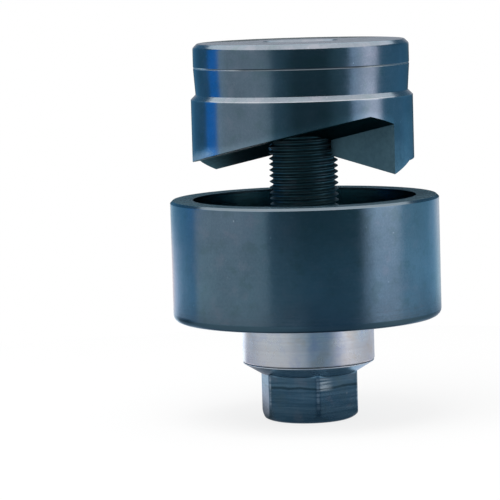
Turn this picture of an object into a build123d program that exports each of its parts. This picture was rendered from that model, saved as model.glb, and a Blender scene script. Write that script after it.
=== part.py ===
from build123d import *
import os
from math import cos, radians, sqrt, tan

# Knockout punch for round holes in sheet steel: a draw stud on a banded ball thrust bearing,
# a cup-shaped die and a punch with two cutting points that splits the slug as it cuts.
# Millimetres. +Z runs up the stud, the origin is the centre of the hex's free end, and the
# set stands on that end, with the punch run up clear of the die.

# The hole, and the fits between the pieces
hole_d = 61.4  # the hole that is cut, and so the punch's cutting diameter
die_clearance = 0.25  # round the punch in the die, for the shear
thread_clearance = 0.05  # stud to punch, on the radius
stud_hole_clearance = 0.5  # stud to the hole in the die's floor, on the radius
press_allowance = 0.05  # pressed pieces of the bearing, on the radius
running_gap = 0.3  # between pieces of the bearing that turn at different speeds
ball_gap = 0.15  # ball to its groove and to its pocket

# Draw stud
stud_thread_d = 19.05
thread_pitch = 1.5875
thread_depth_share = 0.6134  # of the pitch, for a 60 degree thread
stud_reach = 71.4  # from the die's underside to the stud's end
stud_end_chamfer = 1.3
relief_below_thread = 0.28  # the undercut where the thread ends, below the thread's roots
relief_pitches = 1.5  # and its width
hex_across_flats = 25.0  # for a 1 in wrench
hex_height = 13.0
hex_corner_r = 2.0
hex_turn = -20.5  # degrees from +X to one corner
nose_across = 22.4  # the flat left on the hex's end inside its rounded corners
nose_height = 3.6
nose_mid_in = 1.0  # the middle of the rounding, inside the corners and above the end
nose_mid_up = 1.3
cone_neck_step = 0.8  # how far the shoulder's cone starts outside the flats
hex_into_cone = 1.5  # how far the hex runs up inside the cone, which its corners meet
cone_height = 3.0
shoulder_rim = 0.2
pilot_step = 0.7  # the bearing's seat on the stud is this much larger in radius than the thread

# Banded ball thrust bearing
band_wall = 1.0
band_lip = 0.9  # height of the rolled-in lower edge
band_edge_chamfer = 0.2
race_thickness = 4.1
race_rim = 1.2  # height of the upper race's rim, which rests on the band and shows above it
race_step = 1.0  # the shoulder of the lower race that the band's lip hooks under
race_step_height = 1.6
ball_d = 4.7625
ball_count = 12
race_inner_wall = 1.2  # between the balls and the stud's seat
race_outer_wall = 0.9  # outside the balls
groove_depth = 0.6
cage_thickness = 1.6
cage_rim = 0.4  # left outside each pocket

# Die
die_d = 74.6
die_height = 33.6
die_floor = 8.0
die_top_chamfer = 0.7
die_foot_r = 2.0
die_cup_r = 1.0  # inside, between wall and floor
die_hole_chamfer = 0.8

# Punch
punch_height = 36.3  # from the top to the two cutting points
punch_open_gap = 6.9  # from the die's rim up to the cutting points, as it stands
punch_top_d = 59.7
punch_neck_d = 58.7
punch_top_band = 6.4  # straight length below the top
punch_land_drop = 15.4  # from the top to the upper edge of the full cutting diameter
punch_top_chamfer = 1.2
line_depth = 0.15  # the fine turned line below the straight length
line_width = 0.5
cutting_line_turn = -36.1  # degrees from +X to the line that parts the two halves
face_rise = 12.5  # degrees, from each cutting point along the dividing line
face_cross_fall = 3.7  # degrees, towards the rim
ground_strip = 9.1  # width of the ground strip along the dividing line
ground_drop = 2.8  # how far the strip leans down to its splitting edge
bore_mouth_chamfer = 0.9
cut_margin = 5.0  # how far the bar that cuts each half passes the rim

# Levels and radii that follow from the sizes above
hex_corner_circle_r = hex_across_flats / 2 / cos(radians(30))
cone_neck_r = hex_across_flats / 2 + cone_neck_step
hex_top_z = hex_height + hex_into_cone
stud_r = stud_thread_d / 2
relief_r = stud_r - thread_depth_share * thread_pitch - relief_below_thread
relief_width = relief_pitches * thread_pitch
pilot_r = stud_r + pilot_step
ball_r = ball_d / 2
ball_circle_r = pilot_r + race_inner_wall + ball_r
lower_race_r = ball_circle_r + ball_r + race_outer_wall
band_bore_r = lower_race_r + running_gap
band_r = band_bore_r + band_wall
upper_race_r = band_bore_r - press_allowance
lip_r = lower_race_r - race_step + running_gap
shoulder_r = band_r - running_gap / 2
seat_z = hex_height + cone_height + shoulder_rim
groove_r = ball_r + ball_gap
pocket_r = ball_r + ball_gap
face_from_ball = groove_r - groove_depth  # from the balls' centres to each race's face
lower_face_z = seat_z + race_thickness
ball_z = lower_face_z + face_from_ball
upper_face_z = ball_z + face_from_ball
die_z = upper_face_z + race_thickness
hole_r = hole_d / 2
die_bore_r = hole_r + die_clearance
die_rim_z = die_z + die_height
stud_end_z = die_z + stud_reach
point_z = die_rim_z + punch_open_gap
punch_top_z = point_z + punch_height
punch_bore_r = stud_r + thread_clearance
die_hole_r = stud_r + stud_hole_clearance


# Draw stud: one forging with a hex to turn it by, a cone that widens to the shoulder, the
# bearing's seat, the thread's undercut and the threaded length, which is plain here.
with BuildPart() as draw_stud:
    with BuildSketch():
        RegularPolygon(hex_across_flats / 2, 6, major_radius=False, rotation=hex_turn)
    extrude(amount=hex_top_z)
    fillet(draw_stud.edges().filter_by(Axis.Z), hex_corner_r)
    # the free end's corners are turned off to a rounded nose
    with BuildSketch(Plane.XZ):
        with BuildLine():
            Polyline((0, hex_top_z), (0, 0), (nose_across / 2, 0))
            ThreePointArc(
                (nose_across / 2, 0),
                (hex_corner_circle_r - nose_mid_in, nose_mid_up),
                (hex_corner_circle_r, nose_height),
            )
            Polyline((hex_corner_circle_r, nose_height), (hex_corner_circle_r, hex_top_z), (0, hex_top_z))
        make_face()
    revolve(axis=Axis.Z, mode=Mode.INTERSECT)
    with BuildSketch(Plane.XZ):
        with BuildLine():
            Polyline(
                (0, hex_height),
                (cone_neck_r, hex_height),
                (shoulder_r, hex_height + cone_height),
                (shoulder_r, seat_z),
                (pilot_r, seat_z),
                (pilot_r, lower_face_z),
                (relief_r, lower_face_z + pilot_r - relief_r),
                (relief_r, lower_face_z + pilot_r - relief_r + relief_width),
                (stud_r, lower_face_z + pilot_r + stud_r - 2 * relief_r + relief_width),
                (stud_r, stud_end_z - stud_end_chamfer),
                (stud_r - stud_end_chamfer, stud_end_z),
                (0, stud_end_z),
                close=True,
            )
        make_face()
    revolve(axis=Axis.Z)
draw_stud.part.label = "draw_stud"


# Lower race: pressed on the stud's seat, with a shoulder for the band's lip.
with BuildPart() as lower_race:
    with BuildSketch(Plane.XZ):
        with BuildLine():
            Polyline(
                (pilot_r + press_allowance, seat_z),
                (lower_race_r - race_step, seat_z),
                (lower_race_r - race_step, seat_z + race_step_height),
                (lower_race_r, seat_z + race_step_height),
                (lower_race_r, lower_face_z),
                (pilot_r + press_allowance, lower_face_z),
                close=True,
            )
        make_face()
        with Locations((ball_circle_r, ball_z)):
            Circle(groove_r, mode=Mode.SUBTRACT)
    revolve(axis=Axis.Z)
lower_race.part.label = "lower_race"


# Upper race: bears on the die's underside, its rim resting on the band that is pressed round it.
with BuildPart() as upper_race:
    with BuildSketch(Plane.XZ):
        with BuildLine():
            Polyline(
                (die_hole_r, die_z),
                (band_r, die_z),
                (band_r, die_z - race_rim),
                (upper_race_r, die_z - race_rim),
                (upper_race_r, upper_face_z),
                (die_hole_r, upper_face_z),
                close=True,
            )
        make_face()
        with Locations((ball_circle_r, ball_z)):
            Circle(groove_r, mode=Mode.SUBTRACT)
    revolve(axis=Axis.Z)
upper_race.part.label = "upper_race"


# Balls, one ring of them between the two grooves.
with BuildPart() as bearing_balls:
    with Locations(Plane.XY.offset(ball_z)):
        with PolarLocations(ball_circle_r, ball_count):
            Sphere(ball_r)
bearing_balls.part.label = "bearing_balls"


# Cage: a flat ring with a pocket for each ball.
with BuildPart() as ball_cage:
    with BuildSketch(Plane.XY.offset(ball_z)):
        Circle(ball_circle_r + pocket_r + cage_rim)
        Circle(ball_circle_r - pocket_r - cage_rim, mode=Mode.SUBTRACT)
        with PolarLocations(ball_circle_r, ball_count):
            Circle(pocket_r, mode=Mode.SUBTRACT)
    extrude(amount=cage_thickness / 2, both=True)
ball_cage.part.label = "ball_cage"


# Band: the bright shell that holds the bearing together, rolled in under the lower race.
band_top_z = die_z - race_rim
band_foot_z = seat_z + running_gap
with BuildPart() as bearing_band:
    with BuildSketch(Plane.XZ):
        with BuildLine():
            Polyline(
                (band_bore_r, band_top_z),
                (band_r, band_top_z),
                (band_r, band_foot_z + band_edge_chamfer),
                (band_r - band_edge_chamfer, band_foot_z),
                (lip_r, band_foot_z),
                (lip_r, band_foot_z + band_lip),
                (band_bore_r, band_foot_z + band_lip),
                close=True,
            )
        make_face()
    revolve(axis=Axis.Z)
bearing_band.part.label = "bearing_band"


# Die: a turned cup whose rim backs the sheet, with the stud's hole through its floor.
with BuildPart() as die:
    with BuildSketch(Plane.XZ):
        with BuildLine():
            Polyline(
                (die_hole_r, die_z),
                (die_d / 2, die_z),
                (die_d / 2, die_rim_z),
                (die_bore_r, die_rim_z),
                (die_bore_r, die_z + die_floor),
                (die_hole_r, die_z + die_floor),
                close=True,
            )
        make_face()
    revolve(axis=Axis.Z)
    rings = die.edges().filter_by(GeomType.CIRCLE)
    foot = rings.filter_by(lambda e: abs(e.radius - die_d / 2) < 0.01).sort_by(Axis.Z)
    cup = rings.filter_by(lambda e: abs(e.radius - die_bore_r) < 0.01).sort_by(Axis.Z)
    hole = rings.filter_by(lambda e: abs(e.radius - die_hole_r) < 0.01)
    chamfer(foot[-1], die_top_chamfer)
    fillet(foot[0], die_foot_r)
    fillet(cup[0], die_cup_r)
    chamfer(hole, die_hole_chamfer)
die.part.label = "die"


# Each half of the punch's cutting face is two planes that rise together along the dividing line:
# the main plane out to the rim, and a ground strip that leans down to the splitting edge.
# This is what is cut away below one half, a bar whose section slides up that rise.
rise = tan(radians(face_rise))
bar_reach = hole_r + cut_margin
middle_z = point_z + hole_r * rise + ground_drop
bar_end_z = middle_z + bar_reach * rise
bar_low_z = bar_end_z - punch_height - bar_reach
line_x = Vector(1, 0, 0).rotate(Axis.Z, cutting_line_turn)
bar_end = Plane(origin=line_x * bar_reach, x_dir=line_x.rotate(Axis.Z, -90), z_dir=-line_x)
with BuildPart() as half_cut:
    with BuildSketch(bar_end):
        with BuildLine():
            Polyline(
                (0, bar_low_z),
                (0, bar_end_z - ground_drop),
                (ground_strip, bar_end_z),
                (bar_reach, bar_end_z - (bar_reach - ground_strip) * tan(radians(face_cross_fall))),
                (bar_reach, bar_low_z),
                close=True,
            )
        make_face()
    extrude(amount=2 * bar_reach * sqrt(1 + rise**2), dir=-line_x - Vector(0, 0, rise))


# Punch: a turned body, bored for the stud, with the two halves cut away half a turn apart.
top_band_z = punch_top_z - punch_top_band
land_z = punch_top_z - punch_land_drop
neck_r = punch_neck_d / 2
with BuildPart() as punch:
    with BuildSketch(Plane.XZ):
        with BuildLine():
            Polyline(
                (punch_bore_r, point_z),
                (hole_r, point_z),
                (hole_r, land_z),
                (neck_r, land_z + hole_r - neck_r),
                (punch_top_d / 2, top_band_z - line_width),
                (punch_top_d / 2 - line_depth, top_band_z - line_width / 2),
                (punch_top_d / 2, top_band_z),
                (punch_top_d / 2, punch_top_z - punch_top_chamfer),
                (punch_top_d / 2 - punch_top_chamfer, punch_top_z),
                (punch_bore_r + bore_mouth_chamfer, punch_top_z),
                (punch_bore_r, punch_top_z - bore_mouth_chamfer),
                close=True,
            )
        make_face()
    revolve(axis=Axis.Z)
    with PolarLocations(0, 2):
        add(half_cut.part, mode=Mode.SUBTRACT)
punch.part.label = "punch"


os.makedirs("parts", exist_ok=True)
for piece in (draw_stud, lower_race, upper_race, bearing_balls, ball_cage, bearing_band, die, punch):
    export_step(piece.part, f"parts/{piece.part.label}.step")

# How far the punch travels down on the stud, in whole turns of it
down_turns = int((point_z - die_z - die_floor) / thread_pitch)
print(f"die underside {die_z:.4f}, rim {die_rim_z:.4f}, points {point_z:.4f}, top {punch_top_z:.4f}")
print(f"stud end {stud_end_z:.4f}, turns down to the die's floor {down_turns}")
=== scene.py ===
import math

import bmesh
import bpy
import numpy as np
from mathutils import Matrix, Vector


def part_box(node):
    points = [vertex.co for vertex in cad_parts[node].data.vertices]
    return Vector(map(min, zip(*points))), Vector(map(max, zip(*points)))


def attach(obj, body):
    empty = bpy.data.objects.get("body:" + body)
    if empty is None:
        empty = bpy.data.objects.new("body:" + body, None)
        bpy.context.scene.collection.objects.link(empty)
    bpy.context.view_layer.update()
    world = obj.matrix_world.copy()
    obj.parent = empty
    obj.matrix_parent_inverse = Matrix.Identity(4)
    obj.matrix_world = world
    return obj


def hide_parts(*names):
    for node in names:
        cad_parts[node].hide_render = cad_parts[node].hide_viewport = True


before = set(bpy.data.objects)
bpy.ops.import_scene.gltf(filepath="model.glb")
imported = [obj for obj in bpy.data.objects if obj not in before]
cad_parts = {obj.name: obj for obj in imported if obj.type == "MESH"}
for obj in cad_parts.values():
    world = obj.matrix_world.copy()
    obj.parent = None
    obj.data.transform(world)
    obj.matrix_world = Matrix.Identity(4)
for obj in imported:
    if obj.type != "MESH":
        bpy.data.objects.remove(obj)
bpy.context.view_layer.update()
print("frame loaded")
mm = 0.001


# Mesh helpers, all in millimetres

nearlyStraight = 0.02  # radians of turn that need no rounding


def softLine(corners, steps=4):
    # A line through (radius, height, rounding) corners. Each corner becomes an arc tangent to its
    # two sides: it starts rounding * tan(half the turn) before the corner, and its centre lies on
    # the bisector, rounding / cos(half the turn) away from the corner.
    spots = np.array([corner[:2] for corner in corners], float)
    line = [spots[:1]]
    for before, spot, after, corner in zip(spots, spots[1:], spots[2:], corners[1:]):
        into = (spot - before) / np.linalg.norm(spot - before)
        away = (after - spot) / np.linalg.norm(after - spot)
        turn = math.acos(np.clip(into @ away, -1, 1))
        if corner[2] == 0 or turn < nearlyStraight:
            line.append(spot[None])
            continue
        bisector = (away - into) / np.linalg.norm(away - into)
        centre = spot + bisector * corner[2] / math.cos(turn / 2)
        first = spot - into * corner[2] * math.tan(turn / 2) - centre
        last = spot + away * corner[2] * math.tan(turn / 2) - centre
        share = np.linspace(0, 1, steps + 1)[:, None]
        arc = np.sin((1 - share) * turn) * first + np.sin(share * turn) * last
        line.append(centre + arc / math.sin(turn))
    line.append(spots[-1:])
    return np.concatenate(line)


def spun(line, columns=288):
    # Each (radius, height) point of the line carried round the axis:
    # x = radius * cos(angle), y = radius * sin(angle), z = height.
    angle = np.linspace(0, 2 * math.pi, columns + 1)[:, None]
    radius, height = line[:, 0], line[:, 1]
    return np.stack([radius * np.cos(angle), radius * np.sin(angle), height + 0 * angle], -1)


def helixRidge(section, base, lift, angles, swell, least=0.2):
    # A section of (radius, height) points carried up a helix, with one angle, lift and swell for
    # each step: radius = base + (own radius - base) * swell, and height = own height *
    # (least + (1 - least) * swell) + lift. Base lies under the surface that the ridge stands on.
    radius = base + (section[:, 0] - base) * swell[:, None]
    height = section[:, 1] * (least + (1 - least) * swell[:, None]) + lift[:, None]
    ridge = np.stack([radius * np.cos(angles)[:, None], radius * np.sin(angles)[:, None], height], -1)
    # each end closes in one point under that surface
    ends = ridge[[0, -1]][:, :-1].mean(1, keepdims=True) + 0 * ridge[[0, -1]]
    return np.concatenate([ends[:1], ridge, ends[1:]])


def quadsOf(grid, first=0):
    # one face between every four neighbours of a grid whose points are counted from first
    across, along = grid.shape[:2]
    corner = (np.arange(across - 1)[:, None] * along + np.arange(along - 1)).ravel() + first
    return np.stack([corner, corner + along, corner + along + 1, corner + 1], -1)


def inScene(name, data):
    made = bpy.data.objects.new(name, data)
    bpy.context.scene.collection.objects.link(made)
    return made


def makePiece(name, grids, finish, body, nodes, sharpAbove=38, marks=None, zones=None, weld=0.002):
    # Grids of points become quads between neighbours. Points nearer than the weld are merged, so
    # that poles and seams close, and all the faces are turned outwards. Marks are numbers for the points, and
    # zones one number for all the faces of each grid.
    starts = np.cumsum([0] + [grid[..., 0].size for grid in grids])
    quads = [quadsOf(grid, first) for grid, first in zip(grids, starts)]
    mesh = bpy.data.meshes.new(name)
    mesh.from_pydata(np.concatenate([grid.reshape(-1, 3) for grid in grids]) * mm, [], np.concatenate(quads))
    for markName, values in (marks or {}).items():
        mesh.attributes.new(markName, "FLOAT", "POINT").data.foreach_set("value", values.astype(np.float32))
    if zones:
        zone = np.repeat(np.array(zones, np.float32), [len(part) for part in quads])
        mesh.attributes.new("zone", "FLOAT", "FACE").data.foreach_set("value", zone)
    work = bmesh.new()
    work.from_mesh(mesh)
    bmesh.ops.remove_doubles(work, verts=work.verts, dist=weld * mm)
    bmesh.ops.dissolve_degenerate(work, edges=work.edges, dist=weld / 2 * mm)
    bmesh.ops.recalc_face_normals(work, faces=work.faces)
    openEdges = sum(not edge.is_manifold for edge in work.edges)
    work.to_mesh(mesh)
    work.free()
    mesh.shade_smooth()
    mesh.set_sharp_from_angle(angle=math.radians(sharpAbove))
    mesh.materials.append(finish)
    piece = inScene(name, mesh)
    piece.modifiers.new("even shading", "WEIGHTED_NORMAL").keep_sharp = True
    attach(piece, body)
    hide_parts(*nodes)
    print(f"{name}: {len(mesh.polygons)} faces, {openEdges} open edges")


# Shader maths

class Wire:
    # One socket of a node tree. Arithmetic on it adds Math nodes, and node() adds any other node.
    def __init__(self, tree, socket=None):
        self.tree = tree
        self.socket = socket

    def node(self, kind, settings=None, inputs=None, output=0):
        # colours are given as three numbers, and outputs by name or number
        made = self.tree.nodes.new(kind)
        for key, value in (settings or {}).items():
            if key == "stops":
                stops = made.color_ramp.elements
                while len(stops) < len(value):
                    stops.new(1.0)
                for stop, (place, colour) in zip(stops, value):
                    stop.position = place
                    stop.color = (*colour, 1)
            else:
                setattr(made, key, value)
        for key, value in (inputs or {}).items():
            socket = made.inputs[key]
            if isinstance(value, Wire):
                self.tree.links.new(value.socket, socket)
            else:
                socket.default_value = (*value, 1) if socket.type == "RGBA" else value
        return Wire(self.tree, made.outputs[output] if made.outputs else None)

    def combine(self, operation, *values):
        return self.node("ShaderNodeMath", {"operation": operation}, dict(enumerate(values)))

    def __add__(self, other):
        return self.combine("ADD", self, other)

    def __radd__(self, other):
        return self.combine("ADD", other, self)

    def __sub__(self, other):
        return self.combine("SUBTRACT", self, other)

    def __rsub__(self, other):
        return self.combine("SUBTRACT", other, self)

    def __mul__(self, other):
        return self.combine("MULTIPLY", self, other)

    def __rmul__(self, other):
        return self.combine("MULTIPLY", other, self)

    def __truediv__(self, other):
        return self.combine("DIVIDE", self, other)

    def __rtruediv__(self, other):
        return self.combine("DIVIDE", other, self)

    def __abs__(self):
        return self.combine("ABSOLUTE", self)

    def angleFrom(self, other):
        return self.combine("ARCTAN2", self, other)

    def distance(self, other):
        # sqrt(self * self + other * other)
        return self.combine("SQRT", self * self + other * other)

    def fade(self, nought, one):
        # 0 at the first number and 1 at the second, easing at both ends
        return self.node("ShaderNodeMapRange", {"interpolation_type": "SMOOTHSTEP"},
                         {"Value": self, "From Min": nought, "From Max": one})

    def blend(self, low, high):
        # this mask mixes two colours, which are the node's inputs 6 and 7, into its output 2
        return self.node("ShaderNodeMix", {"data_type": "RGBA"}, {0: self, 6: low, 7: high}, output=2)

    def mixShaders(self, low, high):
        return self.node("ShaderNodeMixShader", {}, {0: self, 1: low, 2: high})


def emptyTree(owner):
    owner.use_nodes = True
    owner.node_tree.nodes.clear()
    return Wire(owner.node_tree)


def grain(wire, vector, scale, detail, roughness):
    return wire.node("ShaderNodeTexNoise", {}, {"Vector": vector, "Scale": scale, "Detail": detail,
                                                "Roughness": roughness})


def placesOf(wire):
    # Object coordinates in metres, for the grains, and in millimetres x, y, z and the distance
    # from the stud's axis: radius = sqrt(x * x + y * y).
    place = wire.node("ShaderNodeTexCoord", output="Object")
    x, y, z = (wire.node("ShaderNodeSeparateXYZ", {}, {0: place}, output=name) / mm for name in "XYZ")
    return {"place": place, "x": x, "y": y, "z": z, "radius": x.distance(y)}


def turnedMarks(wire, at, skew=0.004):
    # Noise over (radius, height), in rings round the axis that a little of x and y makes uneven:
    # first the fine rings, then the coarse ones.
    vector = wire.node("ShaderNodeCombineXYZ", {}, {"X": at["radius"] + at["x"] * skew,
                                                    "Y": at["z"] + at["y"] * skew})
    return grain(wire, vector, 1.3, 4.0, 0.65), grain(wire, vector, 0.26, 2.0, 0.5)


def newFinish(name):
    material = bpy.data.materials.new(name)
    wire = emptyTree(material)
    return material, wire, placesOf(wire)


def touch(colour=None, weight=1.0, rough=0.0, uneven=(), shades=(), spared=None, **where):
    # One change of a surface. Where names places, each with the limits of its fade: nought at the
    # first and one at the second, and with four limits also one at the third and nought at the
    # last. Uneven is rows of (place, nought, one, share) that add to the weight, shades are rows of
    # (where, colour, weight) that change the touch's own colour first, and spared is (where,
    # share). A word in place of a colour or a number is looked up in the finish's look.
    return {"colour": colour, "weight": weight, "rough": rough, "uneven": uneven, "shades": shades,
            "spared": spared, "where": where}


def faded(at, where):
    # the product of the fades of all the places
    fades = []
    for name, limits in where.items():
        fades.append(at[name].fade(*limits[:2]))
        if len(limits) == 4:
            fades.append(at[name].fade(limits[3], limits[2]))
    return math.prod(fades[1:], start=fades[0])


def strength(at, look, one):
    # faded mask * (weight + share * fade, for each uneven row) * (1 - share of what is spared)
    weight = look.get(one["weight"], one["weight"])
    for name, nought, full, share in one["uneven"]:
        weight = weight + at[name].fade(nought, full) * share
    mask = faded(at, one["where"]) * weight
    if one["spared"]:
        where, share = one["spared"]
        mask = mask * (1 - faded(at, where) * share)
    return mask


def layTouches(at, look, touches):
    # Each touch in turn lays its own colour over the colour so far by its strength, and adds its
    # amount of roughness * its faded mask.
    colour, rough = look["colour"], look["roughness"]
    for one in touches.values():
        if one["colour"]:
            own = look.get(one["colour"], one["colour"])
            for where, shade, weight in one["shades"]:
                own = (faded(at, where) * weight).blend(own, shade)
            colour = strength(at, look, one).blend(colour, own)
        if one["rough"]:
            rough = rough + faded(at, one["where"]) * look.get(one["rough"], one["rough"])
    return colour, rough


def turnedSteel(name, look, touches, dulled=None, addPlaces=None):
    # Steel off the lathe: fine rings in a surface whose touches change its colour and gloss. Dulled
    # places mix in a matt shader, by the sum of their strengths.
    material, wire, at = newFinish(name)
    at["fine"], coarse = turnedMarks(wire, at)
    at["rings"] = at["fine"] * look["fineRings"] + coarse * (1 - look["fineRings"])
    for grainName, (scale, detail, roughness) in look["grains"].items():
        at[grainName] = grain(wire, at["place"], scale, detail, roughness)
    if addPlaces:
        addPlaces(wire, at)
    colour, rough = layTouches(at, look, touches)
    bump = wire.node("ShaderNodeBump", {}, {"Strength": look["bump"], "Distance": look["bumpDepth"],
                                            "Height": at["fine"] + at["waves"] * look["waves"]})
    shader = wire.node("ShaderNodeBsdfPrincipled", {}, {
        "Base Color": colour, "Metallic": look["metal"], "Roughness": rough, "Normal": bump,
        "Specular Tint": look["edgeTint"],
    })
    if dulled:
        masks = [strength(at, look, one) for one in dulled.values()]
        matt = wire.node("ShaderNodeBsdfDiffuse", {}, {"Color": look["dullColour"]})
        shader = sum(masks[1:], start=masks[0]).mixShaders(shader, matt)
    wire.node("ShaderNodeOutputMaterial", {}, {"Surface": shader})
    return material


# Finishes. Limits on x, y, z and radius are millimetres in the frame of the whole set.

oxideLook = {
    "colour": (0.098, 0.128, 0.158),
    "darkPatch": (0.082, 0.106, 0.132),
    "lightLine": (0.118, 0.15, 0.18),
    "bareSteel": (0.3, 0.33, 0.36),
    "pit": (0.03, 0.05, 0.06),
    "greenTint": (0.06, 0.1, 0.105),
    "greyTint": (0.15, 0.16, 0.195),
    "edgeTint": (0.56, 0.65, 0.72),
    "dullColour": (0.045, 0.06, 0.065),
    "roughness": 0.15,
    "roughPatch": 0.05,
    "roughRing": 0.04,
    "metal": 1.0,
    "marks": 0.3,  # how strongly the lathe's rings show
    "speckle": 0.05,
    "pits": 0.1,
    "specks": 0.5,
    "mottle": 0.32,
    "fineRings": 0.6,  # the fine rings' share of all the rings
    "waves": 5.0,  # how far the surface undulates over some millimetres, against the fine rings
    "bump": 0.04,
    "bumpDepth": 0.0002,
    # scale in a metre, detail and roughness of each grain
    "grains": {"patches": (55, 3, 0.6), "speckle": (1900, 2, 0.6), "specks": (700, 1, 0.5),
               "waves": (190, 4, 0.6)},
}
oxideGround = {
    "patches": touch("darkPatch", patches=(0.35, 0.7)),
    "rings": touch("lightLine", "marks", rings=(0.45, 0.75)),
    "speckle": touch("bareSteel", "speckle", speckle=(0.45, 0.7)),
    "pits": touch("pit", "pits", speckle=(0.5, 0.25)),
    "specks": touch("bareSteel", "specks", specks=(0.79, 0.82)),
    "green": touch("greenTint", "mottle", waves=(0.52, 0.68)),
    "grey": touch("greyTint", "mottle", waves=(0.48, 0.32)),
    "roughPatches": touch(rough="roughPatch", patches=(0.4, 0.75)),
    "roughRings": touch(rough="roughRing", fine=(0.3, 0.8)),
}
brightLook = {
    "colour": (0.66, 0.66, 0.67),
    "lowColour": (0.58, 0.58, 0.6),
    "warmStain": (0.6, 0.55, 0.5),
    "coolStain": (0.5, 0.53, 0.64),
    "edgeTint": (1, 1, 1),
    "roughness": 0.22,
    "roughPatch": 0.08,
    "metal": 1.0,
    "stained": 0.7,
    "fineRings": 0.7,
    "waves": 0.0,
    "bump": 0.06,
    "bumpDepth": 0.0002,
    "grains": {"patches": (120, 3, 0.6), "waves": (170, 4, 0.6)},
}
brightGround = {
    "rings": touch("lowColour", rings=(0.3, 0.75)),
    "warm": touch("warmStain", "stained", waves=(0.5, 0.66)),
    "cool": touch("coolStain", "stained", waves=(0.5, 0.34)),
    "roughPatches": touch(rough="roughPatch", patches=(0.35, 0.75)),
}


# Punch

punch = {
    "cuttingRadius": 30.7,
    "landDrop": 15.4,  # from the top to the ledge
    "ledgeRoundings": (0.15, 0.25),
    "neckRadius": 29.35,
    "headRadius": 29.85,
    "lineDrop": 6.4,  # from the top to the fine turned line
    "lineWidth": 0.5,
    "lineDepth": 0.15,
    "lineRoundings": (0.06, 0.05),
    "topChamfer": 1.2,
    "topRounding": 0.9,
    "boreRadius": 9.575,
    "mouthChamfer": 0.9,
    "mouthRounding": 0.1,
    "levelDrop": 1.5,  # from the ledge to a level over every part of the cutting face
    "lineTurn": -36.1,  # degrees from +X to the line between the two halves
    "rise": 12.5,  # degrees along that line
    "crossFall": 3.7,  # degrees towards the rim
    "stripWidth": 9.1,
    "stripDrop": 2.8,
    "rimEdge": 0.08,
    "columns": 144,  # round each half
    "rows": 6,
}
zoneOf = {"wall": 0, "underside": 1, "splitFace": 2}
onWall, onUnderside, onSplitFace = (0.4, 0.2), (0.4, 0.6), (1.4, 1.6)  # limits of fades over zones
punchTouches = {
    "wornLedge": touch("bareSteel", 0.2, fromLedge=(0.45, 0), uneven=[("thinned", 0.3, 0.6, 0.2)]),
    # painted shade: the underside is made near black, lighter and tealer towards its left point
    "underside": touch((0.008, 0.04, 0.044), rough=0.3, zone=onUnderside),
    "undersideLeftLight": touch((0.05, 0.165, 0.175), 0.5, zone=onUnderside, x=(-18.5, -22),
                       uneven=[("grit", 0.35, 0.6, 0.5)]),
    "splitFace": touch((0.074, 0.132, 0.16), zone=onSplitFace,
                       shades=[({"grit": (0.3, 0.7)}, (0.094, 0.162, 0.196), 1.0),
                               ({"x": (20, 8)}, (0.115, 0.205, 0.24), 0.5)]),
    # painted shade and highlight on the turned line: dark in its middle, lighter towards its ends and bright
    # at its left end
    "turnedLine": touch((0.032, 0.045, 0.056), 0.8, rough=0.2, fromLine=(0.36, 0.16),
                        shades=[({"aside": (15, 19)}, (0.14, 0.17, 0.19), 1.0),
                                ({"x": (-25, -27)}, (0.4, 0.44, 0.45), 1.0)]),
    "top": touch(rough=0.1, z=(104.95, 105.03)),
    # partly edge wear, partly a painted highlight: lighter just above the cutting edge
    "cuttingEdge": touch((0.17, 0.225, 0.27), 0.35, aboveRim=(2.4, 0.3), zone=onWall),
    "lowWall": touch((0.3, 0.35, 0.38), 0.12, z=(80, 73), zone=onWall, uneven=[("grit", 0.35, 0.65, 0.2)]),
    "rightSide": touch((0.28, 0.34, 0.38), 0.36, x=(26, 30.6), z=(87, 81), zone=onWall,
                       uneven=[("grit", 0.35, 0.65, 0.14)]),
    "wornPoint": touch((0.44, 0.48, 0.49), 0.5, rough=0.25, aboveRim=(3.4, 0.6), x=(-23, -26.5),
                       z=(80, 78), zone=onWall, uneven=[("grit", 0.35, 0.65, 0.3)]),
}
punchDulled = {
    "topStain": touch(weight=0.4, z=(104.95, 105.03), radius=(14.5, 19.5), back=(6, 16),
                      uneven=[("mottle", 0.34, 0.52, 0.5)]),
}


def punchPlaces(wire, at):
    # The zone of a face, the height over the cutting edge, grains, the distance to the ledge's edge
    # and to the middle of the turned line, the distance from x = 0, and how far back a place is.
    at["zone"] = wire.node("ShaderNodeAttribute", {"attribute_name": "zone"}, output="Fac")
    at["aboveRim"] = wire.node("ShaderNodeAttribute", {"attribute_name": "aboveRim"}, output="Fac")
    at["grit"] = grain(wire, at["place"], 700, 4, 0.7)
    at["mottle"] = grain(wire, at["place"], 420, 4, 0.65)
    at["thinned"] = grain(wire, at["place"], 160, 3, 0.6)
    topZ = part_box("punch")[1].z / mm
    at["fromLedge"] = (at["radius"] - punch["cuttingRadius"]).distance(at["z"] - (topZ - punch["landDrop"]))
    at["fromLine"] = abs(at["z"] - (topZ - punch["lineDrop"] - punch["lineWidth"] / 2))
    at["aside"] = abs(at["x"])
    at["back"] = at["y"] - at["x"] * 0.2


oxidePunch = turnedSteel("oxide punch", oxideLook, {**oxideGround, **punchTouches}, punchDulled, punchPlaces)


def punchFace(along, aside):
    # Height of one half's cutting face over the plane through the point where both halves cross:
    # along the dividing line it rises by tan(rise), the strip next to that line drops towards it,
    # and past the strip the face falls by tan(cross fall) towards the rim.
    past = np.maximum(aside - punch["stripWidth"], 0)
    short = np.maximum(punch["stripWidth"] - aside, 0)
    slope = math.tan(math.radians(punch["rise"]))
    return (along * slope - past * math.tan(math.radians(punch["crossFall"]))
            - short * punch["stripDrop"] / punch["stripWidth"])


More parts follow.
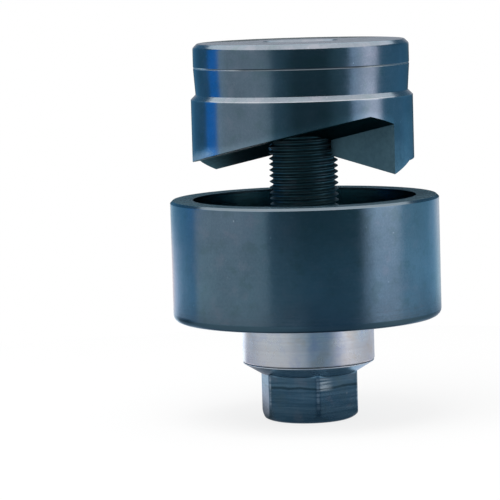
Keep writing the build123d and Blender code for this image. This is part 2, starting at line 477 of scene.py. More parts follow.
def buildPunch():
    low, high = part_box("punch")
    pointZ, topZ = low.z / mm, high.z / mm
    rim, bore, edge, width = (punch[key] for key in ("cuttingRadius", "boreRadius", "rimEdge", "stripWidth"))
    slope = math.tan(math.radians(punch["rise"]))
    middle = pointZ + rim * slope + punch["stripDrop"]
    landZ, lineZ = topZ - punch["landDrop"], topZ - punch["lineDrop"]
    levelZ = landZ - punch["levelDrop"]
    head, neck = punch["headRadius"], punch["neckRadius"]
    chamfer, mouth = punch["topChamfer"], punch["mouthChamfer"]
    (ledge, root), (shoulder, bottom) = punch["ledgeRoundings"], punch["lineRoundings"]
    shape = softLine([
        (rim, levelZ, 0),
        (rim, landZ, ledge),
        (neck, landZ + rim - neck, root),
        (head, lineZ - punch["lineWidth"], shoulder),
        (head - punch["lineDepth"], lineZ - punch["lineWidth"] / 2, bottom),
        (head, lineZ, shoulder),
        (head, topZ - chamfer, punch["topRounding"]),
        (head - chamfer, topZ, punch["topRounding"]),
        (bore + mouth, topZ, punch["mouthRounding"]),
        (bore, topZ - mouth, punch["mouthRounding"]),
        (bore, levelZ, 0),
    ])
    # angles from the dividing line, with columns where the strip's crease meets rim and bore
    crease = [math.asin(width / rim), math.asin(width / bore)]
    angle = np.linspace(0, math.pi, punch["columns"] + 1)
    angle = np.unique(np.concatenate([angle, crease, math.pi - np.array(crease)]))
    turn = math.radians(punch["lineTurn"])
    alongLine = np.array([math.cos(turn), math.sin(turn)])
    besideLine = np.array([math.sin(turn), -math.cos(turn)])
    share = np.linspace(0, 1, punch["rows"] + 1)

    def place(radius, height, half):
        # radius * cos(angle) along the dividing line and radius * sin(angle) beside it, turned by
        # half a turn for the second half
        radius, height = np.broadcast_arrays(radius, height)
        along = (radius * np.cos(angle)[:, None])[..., None] * alongLine
        aside = (radius * np.sin(angle)[:, None])[..., None] * besideLine
        return np.concatenate([(along + aside) * half, height[..., None]], -1)

    def faceZ(radius):
        # the cutting face's height at the radius, for every angle
        return middle + punchFace(radius * np.cos(angle)[:, None], radius * np.sin(angle)[:, None])

    def tallWall(radius, gap):
        # from the cutting face, in even steps, up to the highest end of the splitting face
        foot = faceZ(np.full((len(angle), 1), radius)) + gap
        head = np.maximum(foot, middle - punch["stripDrop"] + radius * slope + gap)
        return foot + (head - foot) * share

    atRim, atBore = tallWall(rim, edge), tallWall(bore, 0.0)
    grids, rimMarks, zones = [], [], []
    for half in (1, -1):
        turned = np.broadcast_to(shape[:, 1], (len(angle), len(shape)))
        wall = np.concatenate([atRim, turned, atBore[:, ::-1]], 1)
        radii = np.concatenate([np.full(len(share), rim), shape[:, 0], np.full(len(share), bore)])
        grids.append(place(radii[None, :], wall, half))
        rimMarks.append((wall - atRim[:, :1]).ravel())
        # the underside, from the bore to the strip's crease and on to the rim's small edge
        creaseRadius = np.clip(width / np.maximum(np.sin(angle), 1e-6), bore, rim - edge)[:, None]
        inner = bore + (creaseRadius - bore) * share
        outer = creaseRadius + (rim - edge - creaseRadius) * share[1:]
        under = np.concatenate([inner, outer], 1)
        grids.append(place(np.concatenate([under, np.full((len(angle), 1), rim)], 1),
                           np.concatenate([faceZ(under), atRim[:, :1]], 1), half))
        rimMarks.append(np.zeros(grids[-1][..., 0].size))
        # the splitting face, upright on the dividing line between one half's edge and the other's
        reach = np.concatenate([bore + (rim - edge - bore) * share, [rim]])[:, None]
        gap = np.where(reach >= rim, edge, 0.0)
        heights = middle - punch["stripDrop"] + gap - reach * slope + 2 * reach * slope * share
        flat = (reach + 0 * share)[..., None] * alongLine * half
        grids.append(np.concatenate([flat, heights[..., None]], -1))
        rimMarks.append(np.zeros(heights.size))
        zones += zoneOf.values()
    makePiece("punchBody", grids, oxidePunch, "punch", ["punch"],
              marks={"aboveRim": np.concatenate(rimMarks)}, zones=zones)


buildPunch()


# Die

die = {
    "radius": 37.3,
    "boreRadius": 30.95,
    "floor": 8.0,
    "holeRadius": 10.025,
    "holeChamfer": 0.8,
    "holeRounding": 0.1,
    "rimChamfer": 0.7,
    "rimRoundings": (0.12, 0.06),
    "footRounding": 2.0,
    "cupRounding": 1.0,
    "columns": 320,
}
dieLook = {
    **oxideLook,
    "colour": (0.1, 0.145, 0.182),
    "darkPatch": (0.086, 0.124, 0.156),
    "lightLine": (0.112, 0.16, 0.198),
    "dullColour": (0.05, 0.095, 0.125),
}
dieTouches = {
    # painted shade: the foot's rounding darker, darkest at its lowest edge and towards the left
    "foot": touch((0.05, 0.112, 0.145), 0.75, z=(30.6, 30.0)),
    "footEdgeShade": touch((0.015, 0.035, 0.05), 0.8, z=(29.1, 28.5)),
    "footLeftShade": touch((0.012, 0.03, 0.045), 0.85, z=(29.4, 29.9, 30.4, 30.9), x=(-30, -33)),
    "inside": touch((0.065, 0.21, 0.245), 0.9, radius=(31.3, 30.9), z=(33, 34)),
    # painted shade: the top chamfer and face darker
    "rim": touch((0.055, 0.076, 0.094), 0.8, z=(61.1, 61.3)),
}
dieDulled = {
    "groundRim": touch(weight=0.35, z=(61.75, 61.84),
                       uneven=[("x", -24, -33, 0.2), ("mottle", 0.36, 0.62, 0.3)],
                       spared=({"radius": (32.1, 31.3), "back": (-4, 8)}, 0.9)),
}


def diePlaces(wire, at):
    # a grain, and how far back and to the left a place is
    at["mottle"] = grain(wire, at["place"], 330, 4, 0.65)
    at["back"] = at["y"] - at["x"] * 0.6


oxideDie = turnedSteel("oxide die", dieLook, {**oxideGround, **dieTouches}, dieDulled, diePlaces)


def buildDie():
    low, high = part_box("die")
    footZ, rimZ = low.z / mm, high.z / mm
    floorZ, startZ = footZ + die["floor"], footZ + die["floor"] / 2
    hole, bore, outer, chamfer = die["holeRadius"], die["boreRadius"], die["radius"], die["holeChamfer"]
    rimChamfer, (outside, inside), atHole = die["rimChamfer"], die["rimRoundings"], die["holeRounding"]
    shape = softLine([
        (hole, startZ, 0),
        (hole, footZ + chamfer, atHole),
        (hole + chamfer, footZ, atHole),
        (outer, footZ, die["footRounding"]),
        (outer, rimZ - rimChamfer, outside),
        (outer - rimChamfer, rimZ, outside),
        (bore, rimZ, inside),
        (bore, floorZ, die["cupRounding"]),
        (hole + chamfer, floorZ, atHole),
        (hole, floorZ - chamfer, atHole),
        (hole, startZ, 0),
    ], steps=5)
    makePiece("dieCup", [spun(shape, die["columns"])], oxideDie, "die", ["die"])


buildDie()


# Draw stud

stud = {
    "acrossFlats": 25.0,
    "cornerRounding": 2.0,
    "cornerColumns": 8,
    "flatColumns": 24,
    "hexTurn": -20.5,  # degrees from +X to one corner
    "hexHeight": 13.0,
    "noseFlat": 11.2,  # radius of the flat end
    "noseMiddle": (13.434, 1.3),  # a point of the nose's arc, as radius and height
    "noseTop": 3.6,  # height at which that arc reaches a sharp corner of the hex
    "noseRows": 8,
    "neckRadius": 13.3,
    "roundFrom": 16.5,  # radius on the cone, outside the hex's corners
    "shoulderRadius": 18.2375,
    "coneTop": 16.0,
    "seatZ": 16.2,
    "shoulderRoundings": (0.1, 0.08),
    "pilotRadius": 10.225,
    "pilotRoundings": (0.2, 0.1),
    "faceZ": 20.3,
    "reliefRadius": 8.2712,
    "reliefWidth": 2.38125,
    "reliefRoundings": (0.5, 0.3, 0.2),
    "endChamfer": 1.3,
    "endRoundings": (0.1, 0.15),
}
thread = {
    "radius": 9.525,
    "pitch": 1.5875,
    "depth": 0.6134,  # in pitches
    "crest": 0.125,  # width of the crest in pitches
    "flank": 30,  # degrees
    "lift": 0.48,  # height of the ridge's middle at angle nought
    "stepsPerTurn": 72,
    "growOver": 1.2,
    "fadeOver": 1.1,
    "crestDrop": 0.04,
    "crestBreak": 0.02,
    "sunk": 0.12,  # how far the ridge's foot lies under the core
    "startAbove": 0.4,
    "stopBelow": 0.2,
    "nutSunk": 0.1,
    "nutTip": 0.18,  # from the core to the tip of the punch's ridge
    "nutGap": 0.04,
    "nutStartAbove": 1.2,
    "sharpAbove": 25,
}
headLook = {
    **oxideLook,
    "colour": (0.044, 0.106, 0.162),
    "darkPatch": (0.034, 0.086, 0.138),
    "lightLine": (0.07, 0.13, 0.172),
    "metal": 0.9,
    "roughness": 0.22,
    "marks": 0.1,
}
threadLook = {
    **oxideLook,
    "colour": (0.042, 0.098, 0.115),
    "darkPatch": (0.028, 0.074, 0.09),
    "lightLine": (0.07, 0.13, 0.145),
    "roughness": 0.46,
    "metal": 0.75,
}
# painted reflection of the floor on the cone, darker to the left
coneReflectionShades = [({"x": (-9, -11)}, (0.05, 0.095, 0.13), 1.0)]
headTouches = {
    "overLine": touch((0.1, 0.16, 0.195), 0.12, waved=(9.6, 10.3), z=(13.4, 12.6)),
    "lightStreaks": touch((0.1, 0.18, 0.24), 0.45, streak=(0.45, 0.66)),
    "darkStreaks": touch((0.02, 0.06, 0.095), 0.45, streak=(0.5, 0.36)),
    "wrenchLine": touch((0.012, 0.035, 0.05), 0.75, fromLine=(0.5, 0.12), z=(13.4, 12.6)),
    # painted reflection: the cone takes the light teal of the floor it mirrors
    "coneFootReflection": touch((0.26, 0.45, 0.57), 0.35, z=(12.8, 13.0, 15.9, 16.1), shades=coneReflectionShades),
    "cone": touch((0.26, 0.45, 0.57), 0.9, z=(13.2, 13.6, 15.9, 16.1), shades=coneReflectionShades),
    # painted shade: the hex darker towards its bottom
    "low": touch((0.012, 0.035, 0.05), 0.35, z=(7.5, 2.0)),
    "corners": touch((0.34, 0.43, 0.48), 0.7, radius=(14.06, 14.12), z=(3.5, 6.0, 12.6, 13.4),
                     streak=(0.3, 0.6)),
    # on the flat to the right of the front corner, from that corner on for some millimetres
    "scuff": touch((0.34, 0.42, 0.47), 0.85, outward=(12.3, 12.45), along=(-0.2, 0.5, 1.5, 5.5),
                   streak=(0.42, 0.6), z=(8.6, 9.6, 12.6, 13.4)),
    "core": touch(threadLook["colour"], rough=0.22, z=(20.4, 21.0, 99.2, 99.5)),
    # painted light: the shoulder's rim under the band is pale steel, so that the gap there shows light
    "shoulderRimLight": touch((0.7, 0.72, 0.75), rough=0.25, z=(15.85, 15.95), radius=(16.4, 16.6)),
}
headDulled = {
    # painted shade: a dark matt finish on the lower left of the hex and the left of the cone
    "leftFlatShade": touch(weight=0.6, z=(7.5, 1.5), x=(-9, -11.5)),
    "leftConeShade": touch(weight=0.5, z=(13.2, 13.6, 15.9, 16.1), x=(-9, -12)),
}
headMarks = {
    "wave": 1.6,  # how far the wrench line wanders up and down
    "lineZ": 9.9,
    "stretch": (60, 60, 1500),  # streaks a metre, round the hex and up it
    "alongStart": 6.8,
}


def headPlaces(wire, at):
    # Waved is the height with a soft wander, and streaks run round the hex. Along and outward are
    # the distances along and out from the flat to the right of the front corner, which are
    # x * cos(direction) + y * sin(direction).
    at["waved"] = at["z"] + (grain(wire, at["place"], 110, 3, 0.6) - 0.5) * headMarks["wave"]
    at["fromLine"] = abs(at["waved"] - headMarks["lineZ"])
    stretched = wire.node("ShaderNodeVectorMath", {"operation": "MULTIPLY"},
                          {0: at["place"], 1: headMarks["stretch"]})
    at["streak"] = grain(wire, stretched, 1, 3, 0.6)
    outward, along = (math.radians(stud["hexTurn"] + degrees) for degrees in (-30, 60))
    at["outward"] = at["x"] * math.cos(outward) + at["y"] * math.sin(outward)
    at["along"] = at["x"] * math.cos(along) + at["y"] * math.sin(along) + headMarks["alongStart"]


oxideHead = turnedSteel("oxide stud head", headLook, {**oxideGround, **headTouches}, headDulled, headPlaces)
oxideThread = turnedSteel("oxide thread", threadLook, oxideGround)


def hexColumns():
    # Angles round a rounded hexagon, with columns at the ends of each corner's arc, and the radius
    # at each: half the width / cos(angle from the flat's middle) on a flat, and on a corner the far
    # crossing of the ray with the corner's circle.
    apothem, rounding, tilt = stud["acrossFlats"] / 2, stud["cornerRounding"], math.radians(30)
    centre = (apothem - rounding) / math.cos(tilt)
    ends = 30 - math.degrees(math.atan((apothem - rounding) * math.tan(tilt) / apothem))
    onCorner = np.linspace(-ends, ends, stud["cornerColumns"] + 1)[:-1]
    onFlat = np.linspace(ends, 60 - ends, stud["flatColumns"] + 1)[:-1]
    degrees = (np.arange(6)[:, None] * 60 + np.concatenate([onCorner, onFlat])).ravel()
    degrees = np.append(degrees, degrees[0] + 360)
    off = np.radians(np.abs((degrees + 30) % 60 - 30))
    flat = apothem / np.cos(tilt - off)
    arc = centre * np.cos(off) + np.sqrt(np.maximum(rounding**2 - (centre * np.sin(off))**2, 0))
    radius = np.where(off <= math.radians(ends) + 1e-9, arc, flat)
    return np.radians(degrees + stud["hexTurn"]), radius


def circleThrough(a, b, c):
    # centre of the circle through three points, from the two perpendicular bisectors
    a, b, c = (np.array(point, float) for point in (a, b, c))
    sides = np.array([b - a, c - a])
    centre = np.linalg.solve(sides, (sides * (np.array([b, c]) + a) / 2).sum(1))
    return centre, np.linalg.norm(a - centre)


def studSizes():
    # the thread's core, and the height at which the undercut below it ends, which rises at 45
    # degrees from the pilot's edge to the relief and runs on for the relief's width
    core = thread["radius"] - thread["depth"] * thread["pitch"]
    reliefTop = stud["faceZ"] + stud["pilotRadius"] - stud["reliefRadius"] + stud["reliefWidth"]
    return core, reliefTop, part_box("draw_stud")[1].z / mm


def buildStud():
    core, reliefTop, endZ = studSizes()
    angle, hexRadius = hexColumns()
    columns = len(angle)
    cornerCircle = stud["acrossFlats"] / 2 / math.cos(math.radians(30))
    centre, bend = circleThrough((stud["noseFlat"], 0), stud["noseMiddle"], (cornerCircle, stud["noseTop"]))
    startBend = math.atan2(-centre[1], stud["noseFlat"] - centre[0])
    endBend = -np.arccos((hexRadius - centre[0]) / bend)
    share = np.linspace(0, 1, stud["noseRows"] + 1)
    around = startBend + (endBend[:, None] - startBend) * share
    radii = [np.zeros((columns, 1)), centre[0] + bend * np.cos(around)]
    heights = [np.zeros((columns, 1)), centre[1] + bend * np.sin(around)]
    # up the flats to the step under the cone, or at the corners to where the cone meets them
    neck, hexZ = stud["neckRadius"], stud["hexHeight"]
    steep = (stud["shoulderRadius"] - neck) / (stud["coneTop"] - hexZ)
    meetZ = hexZ + np.maximum(hexRadius - neck, 0) / steep
    radii += [hexRadius[:, None], np.maximum(hexRadius, neck)[:, None]]
    heights += [meetZ[:, None], meetZ[:, None]]
    pilot, relief, shoulder = stud["pilotRadius"], stud["reliefRadius"], stud["shoulderRadius"]
    seatZ, faceZ, endRadius = stud["seatZ"], stud["faceZ"], thread["radius"] - stud["endChamfer"]
    rest = softLine([
        (stud["roundFrom"], hexZ + (stud["roundFrom"] - neck) / steep, 0),
        (shoulder, stud["coneTop"], stud["shoulderRoundings"][0]),
        (shoulder, seatZ, stud["shoulderRoundings"][1]),
        (pilot, seatZ, stud["pilotRoundings"][0]),
        (pilot, faceZ, stud["pilotRoundings"][1]),
        (relief, faceZ + pilot - relief, stud["reliefRoundings"][0]),
        (relief, reliefTop, stud["reliefRoundings"][1]),
        (core, reliefTop + core - relief, stud["reliefRoundings"][2]),
        (core, endZ - (core - endRadius), stud["endRoundings"][0]),
        (endRadius, endZ, stud["endRoundings"][1]),
        (0, endZ, 0),
    ])
    radii.append(np.broadcast_to(rest[:, 0], (columns, len(rest))))
    heights.append(np.broadcast_to(rest[:, 1], (columns, len(rest))))
    radii, heights = np.concatenate(radii, 1), np.concatenate(heights, 1)
    body = np.stack([radii * np.cos(angle)[:, None], radii * np.sin(angle)[:, None], heights], -1)
    makePiece("studBody", [body], oxideHead, "stud", ["draw_stud"])


def helixRun(startZ, stopZ, share):
    # Angles up the stud's thread between two heights, the middle of the ridge at each angle, which is
    # lift + pitch * (angle / (2 pi) + share of a pitch), and how far the ridge has grown there.
    pitch, steps = thread["pitch"], thread["stepsPerTurn"]
    first = ((startZ - thread["lift"]) / pitch - share) * 2 * math.pi
    angles = first + np.arange(int((stopZ - startZ) / pitch * steps) + 1) * 2 * math.pi / steps
    lift = thread["lift"] + pitch * (angles / (2 * math.pi) + share)
    grown = np.clip((lift - startZ) / thread["growOver"], 0, 1)
    return angles, lift, grown * np.clip((stopZ - lift) / thread["fadeOver"], 0, 1)


def buildThreads():
    # the stud's thread: a ridge with 60 degrees between its flanks, wound up the core, which grows
    # above the undercut and dies out at the end
    core, reliefTop, endZ = studSizes()
    tip, crest = thread["radius"], thread["crest"] / 2 * thread["pitch"]
    tanFlank = math.tan(math.radians(thread["flank"]))
    base, drop, corner = core - thread["sunk"], thread["crestDrop"], thread["crestBreak"]
    foot = crest + (tip - base) * tanFlank
    section = np.array([(base, -foot), (tip - drop, -crest - corner), (tip, -crest + corner),
                        (tip, crest - corner), (tip - drop, crest + corner), (base, foot), (base, -foot)])
    angles, lift, swell = helixRun(reliefTop + thread["startAbove"], endZ - thread["stopBelow"], 0)
    makePiece("studThread", [helixRidge(section, base, lift, angles, swell)], oxideThread, "stud",
              ["draw_stud"], sharpAbove=thread["sharpAbove"])

    # the punch's thread stands on its bore, half a pitch on, and clears the stud's flanks by the gap
    low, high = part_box("punch")
    base, inner = punch["boreRadius"] + thread["nutSunk"], core + thread["nutTip"]
    baseHalf, innerHalf = (thread["pitch"] / 2 - crest - (tip - radius) * tanFlank - thread["nutGap"]
                           for radius in (base, inner))
    section = np.array([(base, -baseHalf), (inner, -innerHalf), (inner, innerHalf), (base, baseHalf),
                        (base, -baseHalf)])
    rise = punch["cuttingRadius"] * math.tan(math.radians(punch["rise"]))
    startZ = low.z / mm + rise + punch["stripDrop"] + thread["nutStartAbove"]
    angles, lift, swell = helixRun(startZ, high.z / mm - punch["mouthChamfer"], 0.5)
    makePiece("punchThread", [helixRidge(section, base, lift, angles, swell)], oxideThread, "punch",
              ["punch"], sharpAbove=thread["sharpAbove"])


buildStud()
buildThreads()


# Bearing: band and races

bearing = {
    "bandRadius": 18.3875,
    "bandBore": 17.3875,
    "lipRadius": 16.3875,
    "lipHeight": 0.9,
    "lipRoundings": (0.1, 0.15),
    "footDrop": 0.2,  # the rolled edge is this much nearer to the stud's shoulder than the solid's
    "edgeChamfer": 0.35,
    "edgeRounding": 0.2,
    "rimRoundings": (0.05, 0.12, 0.1),  # inside, outside, and at the hole
    "rimHeight": 1.2,
    "startDrop": 2.0,  # from the band's top to where its profile starts
    "pressed": 0.05,  # how far the upper race's wall lies inside the band's bore
    "ballCircle": 13.80625,
    "grooveRadius": 2.53125,
    "grooveRows": 12,
    "faceFromBall": 1.93125,
}
bearingLooks = {
    "turned band": brightLook,
    "ground race": {**brightLook, "roughness": 0.12},
    "polished ball": {**brightLook, "roughness": 0.06, "bump": 0.0, "stained": 0.0},
    "cage brass": {**brightLook, "colour": (0.62, 0.47, 0.22), "lowColour": (0.5, 0.37, 0.17),
                   "stained": 0.0},
}
steelBand, steelRace, steelBall, brassCage = (
    turnedSteel(name, look, brightGround) for name, look in bearingLooks.items()
)


def buildBearing():
    low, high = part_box("bearing_band")
    footZ, topZ = low.z / mm - bearing["footDrop"], high.z / mm
    startZ, lipZ = topZ - bearing["startDrop"], footZ + bearing["lipHeight"]
    outer, bore, lip = bearing["bandRadius"], bearing["bandBore"], bearing["lipRadius"]
    edge, edgeRounding = bearing["edgeChamfer"], bearing["edgeRounding"]
    inside, outside, atHole = bearing["rimRoundings"]
    shape = softLine([
        (bore, startZ, 0),
        (bore, topZ, inside),
        (outer, topZ, outside),
        (outer, footZ + edge, edgeRounding),
        (outer - edge, footZ, edgeRounding),
        (lip, footZ, bearing["lipRoundings"][0]),
        (lip, lipZ, bearing["lipRoundings"][0]),
        (bore, lipZ, bearing["lipRoundings"][1]),
        (bore, startZ, 0),
    ])
    makePiece("bearingBand", [spun(shape)], steelBand, "die", ["bearing_band"])
    low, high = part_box("upper_race")
    faceZ, topZ = low.z / mm, high.z / mm
    rimZ, ballZ = topZ - bearing["rimHeight"], faceZ - bearing["faceFromBall"]
    # the groove: an arc about the ball's middle, between the two places where it meets the face
    bend = bearing["grooveRadius"]
    reach = math.acos(bearing["faceFromBall"] / bend)
    swing = np.linspace(-reach, reach, bearing["grooveRows"] + 1)
    groove = np.stack([bearing["ballCircle"] + bend * np.sin(swing), ballZ + bend * np.cos(swing)], -1)
    pressRadius, hole = bore - bearing["pressed"], die["holeRadius"]
    rest = softLine([
        (pressRadius, faceZ, 0),
        (pressRadius, rimZ, inside),
        (outer, rimZ, outside),
        (outer, topZ, outside),
        (hole, topZ, atHole),
        (hole, faceZ, 0),
    ])
    shape = np.concatenate([groove, rest, groove[:1]])
    makePiece("upperRace", [spun(shape)], steelRace, "die", ["upper_race"])


buildBearing()
for node, finish in (("lower_race", steelRace), ("bearing_balls", steelBall), ("ball_cage", brassCage)):
    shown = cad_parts[node]
    shown.data.materials.clear()
    shown.data.materials.append(finish)
print("bearing made")


# Studio: what the metal mirrors

# Bands of colour go round the object by degrees from the camera's side, a minus being to its left.
# A row with two angles holds its colour between them.
table = [
    (-180, -143, (1.4, 1.55, 1.7)), (-133, -100, (0.41, 0.42, 0.5)), (-80, (0.53, 0.53, 0.58)),
    (-35, (0.51, 0.53, 0.58)), (-24, (0.42, 0.46, 0.54)), (-6, (0.32, 0.39, 0.49)), (4, (0.08, 0.16, 0.28)),
    (32, (0.07, 0.15, 0.27)), (48, (0.38, 0.41, 0.48)), (67, (0.67, 0.63, 0.65)), (90, (0.59, 0.56, 0.6)),
    (118, (0.46, 0.47, 0.54)), (165, (0.5, 0.55, 0.66)), (180, (1.4, 1.55, 1.7)),
]
nearTable = [
    (-180, -112, (1.35, 1.25, 1.35)), (-95, (0.45, 0.46, 0.54)), (-35, (0.51, 0.53, 0.58)),
    (4, 32, (0.1, 0.18, 0.28)), (60, 95, (0.56, 0.56, 0.6)), (112, 180, (1.35, 1.25, 1.35)),
]
byDieFoot = [
    (-180, (1.3, 1.2, 1.2)), (-157, (1.85, 1.5, 1.45)), (-138, (1.9, 1.85, 2.1)),
    (-122, (0.85, 1.22, 1.48)), (-103, (0.38, 0.78, 1.12)), (-96, (0.96, 1.16, 1.22)),
    (-84, (0.88, 1.1, 1.16)), (-72, (0.79, 0.99, 1.07)), (-54, (0.78, 0.98, 1.06)),
    (-45, (0.67, 0.87, 0.94)), (-35, (0.64, 0.8, 0.88)), (-30, (0.54, 0.72, 0.81)),
    (-26, (0.22, 0.4, 0.49)), (-12, (0.19, 0.36, 0.45)), (4, 42, (0.15, 0.32, 0.42)),
    (57, 76, (1.3, 1.5, 1.75)), (85, 118, (0.68, 1.1, 1.38)), (130, (0.9, 1.25, 1.5)),
    (144, (1.3, 1.5, 1.6)), (160, 180, (0.9, 0.92, 0.96)),
]
byDieRim = [
    (-180, (0.8, 0.84, 0.88)), (-160, (0.9, 0.94, 0.98)), (-148, (0.8, 1.1, 1.3)),
    (-122, (0.38, 0.78, 1.08)), (-103, (0.28, 0.64, 1.02)), (-96, (0.88, 0.95, 1.03)),
    (-54, (0.86, 0.91, 1.0)), (-42, (0.68, 0.76, 0.87)), (-37, (0.66, 0.82, 0.88)),
    (-31, (0.52, 0.68, 0.76)), (-27, (0.15, 0.26, 0.34)), (-15, (0.15, 0.24, 0.3)),
    (0, 42, (0.075, 0.165, 0.2)), (57, 76, (1.65, 1.75, 1.95)), (85, (0.54, 0.9, 1.1)),
    (118, (0.57, 0.94, 1.15)), (130, (0.95, 1.25, 1.5)), (144, (1.7, 1.6, 1.65)),
    (160, 180, (0.9, 0.92, 0.96)),
]
byPunch = [  # what the next two share
    (-152, -112, (0.16, 0.42, 0.64)), (-108, -94, (0.07, 0.66, 1.85)), (-91, (0.98, 1.2, 1.3)),
    (-80, -43, (0.86, 1.0, 1.08)), (-32, (0.68, 0.88, 0.96)), (-27, (0.2, 0.38, 0.48)),
    (-18, (0.15, 0.31, 0.38)), (-6, 24, (0.075, 0.165, 0.2)), (34, (0.15, 0.31, 0.37)),
    (48, (0.16, 0.36, 0.46)), (51, (1.25, 1.65, 2.05)), (60, (1.7, 1.9, 2.15)),
    (67, 78, (2.9, 2.75, 2.95)),
]
byPunchLand = [
    (-180, -162, (0.07, 0.12, 0.15)), *byPunch, (86, 125, (0.26, 0.6, 0.84)), (150, (0.12, 0.28, 0.4)),
    (158, 180, (0.07, 0.12, 0.15)),
]
byPunchHead = [
    (-180, -162, (0.62, 0.6, 0.64)), *byPunch, (86, 125, (0.18, 0.44, 0.62)), (150, (0.22, 0.38, 0.49)),
    (160, 180, (0.62, 0.6, 0.64)),
]
studio = {
    "radius": 200.0,  # of the floor and the walls
    "columns": 96,
    "brightest": 3.9,  # no band may have more
    # heights between which the walls change from the bands before to these
    "walls": [(-2, -1, table), (3, 14, byDieFoot), (22, 42, byDieRim), (49, 54, byPunchLand),
              (92, 104, byPunchHead)],
    "wallFoot": -1.0,
    "wallTop": 215.0,
    "floorRings": 4,
    "floorDrop": 0.05,
    "floorColour": (0.88, 0.88, 0.88),
    "floorOwn": 0.82,  # how much of the floor's white is its own, to the camera alone
    "floorMirrored": 0.85,
    "under": (0.42, 0.45, 0.5),  # close under the object, where the bands would meet
    "underEnds": (13, 20),  # radii between which that gives way to the near bands
    "nearEnds": (50, 75),  # and those to the far ones
    "overhead": (3.85, 3.4, 3.15),
    "plain": 0.75,  # for all rays that aren't reflections
    "lampSize": 0.5,
    "lampPower": 2.5,
    "lampPlace": (-0.12, -0.18, 0.62),
    "lampAim": (0, 0, 0.05),
}
cameraView = {
    "place": (0.0, -0.8387, 0.13244),
    "yaw": -0.01849,  # radians, as are the next two
    "pitch": 0.10105,
    "roll": -0.02847,
    "lens": 218.36,
    "sensor": 36,
    "clip": (0.05, 20),
}
white = (1, 1, 1)


def scaledDown(colour):
    # as a share of the brightest, because a ramp holds no colour over 1
    return [part / studio["brightest"] for part in colour]


def bandColour(wire, at, bands):
    # colour by the angle round the axis, which is 0 at -Y and grows towards +X
    share = at["x"].angleFrom(at["y"] * -1) / (2 * math.pi) + 0.5
    stops = [((degrees + 180) / 360, scaledDown(row[-1])) for row in bands for degrees in row[:-1]]
    return wire.node("ShaderNodeValToRGB", {"stops": stops}, {0: share})


def stageMesh(name, grid, material):
    mesh = bpy.data.meshes.new(name)
    mesh.from_pydata(grid.reshape(-1, 3) * mm, [], quadsOf(grid))
    mesh.materials.append(material)
    return inScene(name, mesh)


def rayIs(wire, kind):
    return wire.node("ShaderNodeLightPath", output=f"Is {kind} Ray")


def buildSky():
    # white to the camera, the overhead colour to reflections, and a plain level to all other rays
    world = bpy.data.worlds.new("studio")
    bpy.context.scene.world = world
    wire = emptyTree(world)
    levels = ((scaledDown(studio["overhead"]), studio["brightest"]), (white, studio["plain"]), (white, 1.0))
    mirrored, plain, seen = (wire.node("ShaderNodeBackground", {}, {"Color": colour, "Strength": level})
                             for colour, level in levels)
    around = rayIs(wire, "Glossy").mixShaders(plain, mirrored)
    wire.node("ShaderNodeOutputWorld", {}, {"Surface": rayIs(wire, "Camera").mixShaders(around, seen)})


def buildLamp():
    lamp = bpy.data.lights.new("overhead lamp", "AREA")
    lamp.shape = "DISK"
    lamp.size = studio["lampSize"]
    lamp.energy = studio["lampPower"]
    hung = inScene("overhead lamp", lamp)
    hung.location = studio["lampPlace"]
    hung.rotation_euler = (Vector(studio["lampAim"]) - hung.location).to_track_quat("-Z", "Y").to_euler()
    hung.visible_glossy = False


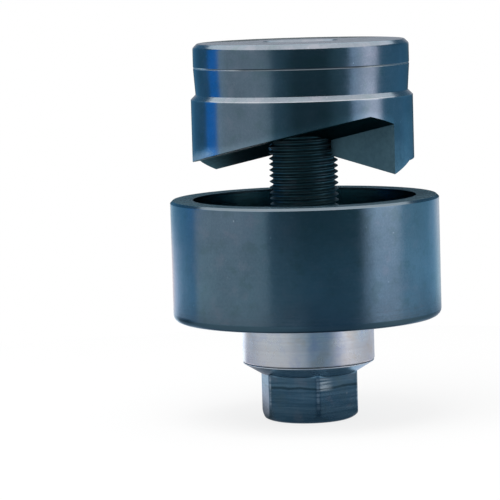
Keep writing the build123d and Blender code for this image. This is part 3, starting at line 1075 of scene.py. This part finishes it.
def paleFloor():
    # Matt, with a white of its own for the camera, and coloured bands for reflections. From below
    # it isn't there, so that the underside can be looked at.
    material, wire, at = newFinish("pale floor")
    matt = wire.node("ShaderNodeBsdfDiffuse", {}, {"Color": studio["floorColour"]})
    own = wire.node("ShaderNodeEmission", {}, {"Color": white, "Strength": 1.0})
    near = at["radius"].fade(*studio["nearEnds"])
    bands = near.blend(bandColour(wire, at, nearTable), bandColour(wire, at, table))
    bands = at["radius"].fade(*studio["underEnds"]).blend(scaledDown(studio["under"]), bands)
    mirrored = wire.node("ShaderNodeEmission", {}, {"Color": bands, "Strength": studio["brightest"]})
    whole = (rayIs(wire, "Camera") * studio["floorOwn"]).mixShaders(matt, own)
    whole = (rayIs(wire, "Glossy") * studio["floorMirrored"]).mixShaders(whole, mirrored)
    clear = wire.node("ShaderNodeBsdfTransparent", {}, {"Color": white})
    below = wire.node("ShaderNodeNewGeometry", output="Backfacing")
    wire.node("ShaderNodeOutputMaterial", {}, {"Surface": below.mixShaders(whole, clear)})
    return material


def glowingWalls():
    # the bands of each height, faded into the ones above
    material, wire, at = newFinish("studio walls")
    seen = None
    for low, high, bands in studio["walls"]:
        colour = bandColour(wire, at, bands)
        seen = at["z"].fade(low, high).blend(seen, colour) if seen else colour
    glow = wire.node("ShaderNodeEmission", {}, {"Color": seen, "Strength": studio["brightest"]})
    wire.node("ShaderNodeOutputMaterial", {}, {"Surface": glow})
    return material


def buildStage():
    # x = radius * cos(angle), y = radius * sin(angle), and on the floor the angle falls, so that
    # it faces up
    angle = np.linspace(2 * math.pi, 0, studio["columns"] + 1)[:, None]
    out = studio["radius"] * np.linspace(0, 1, studio["floorRings"] + 1)
    disc = np.stack([out * np.cos(angle), out * np.sin(angle), 0 * out * angle - studio["floorDrop"]], -1)
    floor = stageMesh("floor", disc, paleFloor())
    wallLine = np.array([(studio["radius"], studio[end]) for end in ("wallFoot", "wallTop")])
    walls = stageMesh("studioWalls", spun(wallLine, studio["columns"]), glowingWalls())
    # nothing but a reflection shows the walls
    for ray in ("camera", "diffuse", "transmission", "shadow"):
        setattr(walls, f"visible_{ray}", False)


def buildCamera():
    # forward from yaw and pitch, then right and up turned by the roll
    yaw, pitch, roll = cameraView["yaw"], cameraView["pitch"], cameraView["roll"]
    forward = Vector((math.sin(yaw) * math.cos(pitch), math.cos(yaw) * math.cos(pitch), -math.sin(pitch)))
    right = Vector((math.cos(yaw), -math.sin(yaw), 0))
    up = right.cross(forward)
    across = right * math.cos(roll) + up * math.sin(roll)
    over = up * math.cos(roll) - right * math.sin(roll)
    data = bpy.data.cameras.new("camera")
    data.sensor_width = cameraView["sensor"]
    data.lens = cameraView["lens"]
    data.clip_start, data.clip_end = cameraView["clip"]
    camera = inScene("camera", data)
    camera.matrix_world = Matrix((across, over, -forward)).transposed().to_4x4()
    camera.location = cameraView["place"]
    bpy.context.scene.camera = camera


bpy.context.scene.view_settings.view_transform = "Standard"
buildSky()
buildLamp()
buildStage()
buildCamera()
print("studio made")
